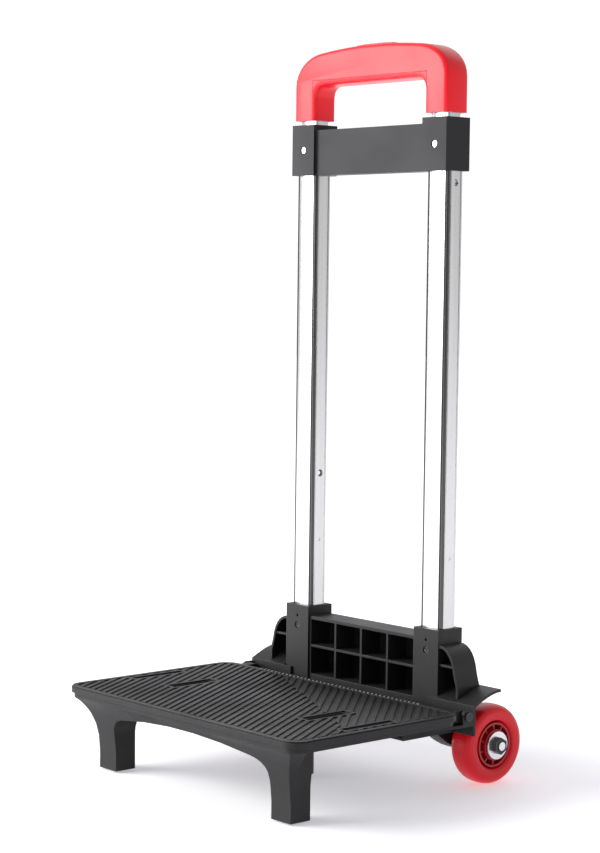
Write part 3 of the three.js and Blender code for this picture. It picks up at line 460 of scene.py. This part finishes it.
# ---- Feet ---------------------------------------------------------------------------
# Soft rubber plugs pushed into the ends of the two front legs, so that a standing truck
# doesn't slip.
foot_rubber = part_finish("foot_rubber", (0.012, 0.012, 0.013), (0.02, 0.02, 0.021),
                          (0.035, 0.035, 0.035), (0.75, 0.9), grain=900, depth=0.0003)
dress(pair("foot_plug"), foot_rubber)

# ---- Tubes --------------------------------------------------------------------------
# Bright drawn aluminium extrusions with fine lines along their length. The outer ones,
# whose screws hold them in their sockets, carry a dark band about 4 mm wide at each front
# corner with two darker lines where narrow flutes run. The band is partly the tube's own
# dark corner and partly painted shade and painted dark reflection, and the lines are
# painted shade in the flutes. The inner ones slide in them.
tube_tones = {"low": (0.52, 0.52, 0.52), "high": (0.66, 0.66, 0.65), "worn": (0.72, 0.72, 0.71)}
drawn_texture = {"rough": (0.16, 0.3), "grain": 2600, "depth": 0.00004, "patch": 420,
                 "stretch": (1, 1, 0.004)}
inner_aluminium = part_finish("drawn_aluminium", **tube_tones, **drawn_texture, metallic=1.0)
tube_aluminium_painted_shade = part_finish("aluminium_painted_corner_shade", **tube_tones, **drawn_texture, metallic=1.0)
front_round = 0.0012
ramp_scale = 200
outer_low, outer_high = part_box("outer_tube_right")
tube_centre = (outer_low + outer_high) / 2
tube_half = (outer_high - outer_low) / 2
tube_tree = tube_aluminium_painted_shade.node_tree
tube_place = tube_tree.nodes.new("ShaderNodeTexCoord")
tube_axes = tube_tree.nodes.new("ShaderNodeSeparateXYZ")
tube_tree.links.new(tube_place.outputs["Object"], tube_axes.inputs["Vector"])


def tube_math(operation, first, second):
    step = tube_tree.nodes.new("ShaderNodeMath")
    step.operation = operation
    for socket, value in zip(step.inputs, (first, second)):
        if isinstance(value, bpy.types.NodeSocket):
            tube_tree.links.new(value, socket)
        else:
            socket.default_value = value
    return step.outputs["Value"]


def from_face(coordinate, centre, half):
    away = tube_math("ABSOLUTE", tube_math("SUBTRACT", coordinate, centre), 0)
    return tube_math("MAXIMUM", tube_math("SUBTRACT", half, away), 0)


side_x = tube_math("ABSOLUTE", tube_axes.outputs["X"], 0)
from_side = from_face(side_x, tube_centre.x, tube_half.x)
tube_front = tube_centre.y - tube_half.y + front_round
from_front = tube_math("MAXIMUM", tube_math("SUBTRACT", tube_axes.outputs["Y"], tube_front), 0)
corner_way = tube_math("MULTIPLY", tube_math("ADD", from_side, from_front), ramp_scale)
# Painted shade and reflection: the colour darkens to near black within about 4 mm of each front
# corner, with two darkest lines for the flutes.
painted_flute_shade = tube_tree.nodes.new("ShaderNodeValToRGB")
painted_flute_shade.color_ramp.elements[0].position = 0.0
painted_flute_shade.color_ramp.elements[0].color = (0.16, 0.16, 0.16, 1)
painted_flute_shade.color_ramp.elements[1].position = 1.0
painted_flute_shade.color_ramp.elements[1].color = (1, 1, 1, 1)
for place, shade in ((0.08, 0.16), (0.14, 0.01), (0.28, 0.01), (0.34, 0.14), (0.52, 0.18),
                     (0.58, 0.01), (0.72, 0.01), (0.80, 0.9)):
    stop = painted_flute_shade.color_ramp.elements.new(place)
    stop.color = (shade, shade, shade, 1)
tube_tree.links.new(corner_way, painted_flute_shade.inputs["Fac"])
painted_shade_mix = tube_tree.nodes.new("ShaderNodeMix")
painted_shade_mix.data_type = "RGBA"
painted_shade_mix.blend_type = "MULTIPLY"
painted_shade_mix.inputs["Factor"].default_value = 1
tube_tree.links.new(tube_tree.nodes["rubbed_colour"].outputs["Result"], painted_shade_mix.inputs["A"])
tube_tree.links.new(painted_flute_shade.outputs["Color"], painted_shade_mix.inputs["B"])
tube_shader = tube_tree.nodes["Principled BSDF"]
tube_tree.links.new(painted_shade_mix.outputs["Result"], tube_shader.inputs["Base Color"])
dress(pair("outer_tube"), tube_aluminium_painted_shade)
dress(pair("inner_tube"), inner_aluminium)

# ---- Cross bar, bushes and lock blocks ----------------------------------------------
# Dark grey plastic mouldings: the bar screwed across the two tubes under the grip, the
# bush at each tube's mouth, the lock blocks inside, and the bridge under the button.
bar_plastic = part_finish("bar_plastic", (0.012, 0.012, 0.014), (0.018, 0.018, 0.021),
                          (0.06, 0.06, 0.064), (0.4, 0.52), grain=1600, depth=0.00012,
                          specular=0.2)
dress(["cross_bar", "button_yoke"] + pair("guide_bush", "lock_block"), bar_plastic)

# ---- Grip and button ----------------------------------------------------------------
# A crowned cover over a liner, both in glossy red plastic, closed round the inner
# tubes. The button of the same plastic stands a little proud of the top of the crown.
grip_red = part_finish("grip_red", (0.8, 0.003, 0.012), (0.9, 0.005, 0.018),
                       (0.95, 0.05, 0.06), (0.3, 0.4), grain=1300, depth=0.00006,
                       specular=0.4)
dress(["grip_cover", "grip_liner", "push_button"], grip_red)

# ---- Tyres --------------------------------------------------------------------------
# Cast red polyurethane bands on the hubs, full and round in the tread and flat at the
# sides, smooth all over.
tyre_red = part_finish("tyre_red", (0.72, 0.002, 0.01), (0.82, 0.004, 0.016),
                       (0.85, 0.02, 0.03), (0.26, 0.38), grain=700, depth=0.00008,
                       specular=0.35)
tyre_steps = 112
bore_radius = 0.0199
tread_squareness, bore_squareness, side_squareness = 0.82, 0.45, 0.72
for side in ("right", "left"):
    tyre_low, tyre_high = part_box(f"tyre_{side}")
    axle = (tyre_low + tyre_high) / 2
    wheel_radius = (tyre_high.z - tyre_low.z) / 2
    band_half = (wheel_radius - bore_radius) / 2
    width_half = (tyre_high.x - tyre_low.x) / 2
    tyre = bmesh.new()
    ring = bmesh.ops.create_circle(tyre, segments=48, radius=1)["verts"]
    for point in ring:
        out, along = point.co.x, point.co.y
        squareness = tread_squareness if out > 0 else bore_squareness
        reach = math.copysign(abs(out) ** squareness, out)
        spread = math.copysign(abs(along) ** side_squareness, along)
        radius = bore_radius + band_half * (1 + reach)
        point.co = (axle.x + width_half * spread, axle.y, axle.z + radius)
    bmesh.ops.spin(tyre, geom=tyre.edges[:], cent=axle, axis=(1, 0, 0), dvec=(0, 0, 0),
                   angle=2 * math.pi, steps=tyre_steps, use_merge=True)
    bmesh.ops.remove_doubles(tyre, verts=tyre.verts[:], dist=1e-6)
    bmesh.ops.recalc_face_normals(tyre, faces=tyre.faces[:])
    for face in tyre.faces:
        face.smooth = True
    band = add_piece(f"cast_tyre_{side}", tyre, tyre_red, f"wheel_{side}")
    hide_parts(f"tyre_{side}")

# ---- Wheel hubs ---------------------------------------------------------------------
# Spoked hubs in red plastic, each with two ball bearings pressed into it from its two
# faces. Their red is deeper than the tyres', partly their own colour and partly painted
# shade for the recess they sit in.
# Partly painted shade: the hub red is about half as bright as the tyre red.
hub_red_painted_shade = part_finish("hub_red_painted_shade", (0.36, 0.004, 0.01), (0.46, 0.006, 0.014),
                      (0.6, 0.02, 0.03), (0.35, 0.5), grain=900, depth=0.0001)
dress(pair("wheel_hub"), hub_red_painted_shade)

# ---- Bearings, springs and rods -----------------------------------------------------
# Ground and drawn steel: the bearings in the hubs and the spacers between them, and the
# rods and springs inside the handle.
ground_steel = part_finish("ground_steel", (0.42, 0.42, 0.43), (0.56, 0.56, 0.57),
                           (0.7, 0.7, 0.7), (0.2, 0.36), grain=2200, depth=0.00003,
                           patch=160, metallic=1.0)
dress(["button_spring"] + pair("push_rod", "pin_spring", "bearing_race_inner",
                               "bearing_race_outer", "bearing_core_inner", "bearing_core_outer",
                               "bearing_spacer"), ground_steel)

# ---- Axle bolts, washers and screws -------------------------------------------------
# Bright zinc-plated steel: the axle bolts with their washers and spacers, the lock pins
# and the cross bar's screws. The nuts, the sockets' screws and the hinge pins are
# black plated. On the nuts and the sockets' screws the black is also painted shade for
# the dark recesses they sit in.
zinc_plate = part_finish("zinc_plate", (0.66, 0.67, 0.69), (0.8, 0.8, 0.81),
                         (0.9, 0.9, 0.9), (0.18, 0.34), grain=1800, depth=0.00004,
                         patch=240, metallic=1.0)
dress(pair("cross_bar_screw", "lock_pin_inner", "lock_pin_outer",
           "stepped_spacer", "wheel_washer", "axle_bolt"), zinc_plate)
# Painted shade: near-black plate on the nuts and sockets' screws also stands in for shade in their
# recesses.
black_plate_and_painted_shade = part_finish("black_plate_and_painted_shade", (0.03, 0.03, 0.032), (0.05, 0.05, 0.052),
                          (0.2, 0.2, 0.2), (0.3, 0.45), grain=1800, depth=0.00004, metallic=0.6)
dress(pair("axle_nut", "socket_screw", "hinge_pin"), black_plate_and_painted_shade)
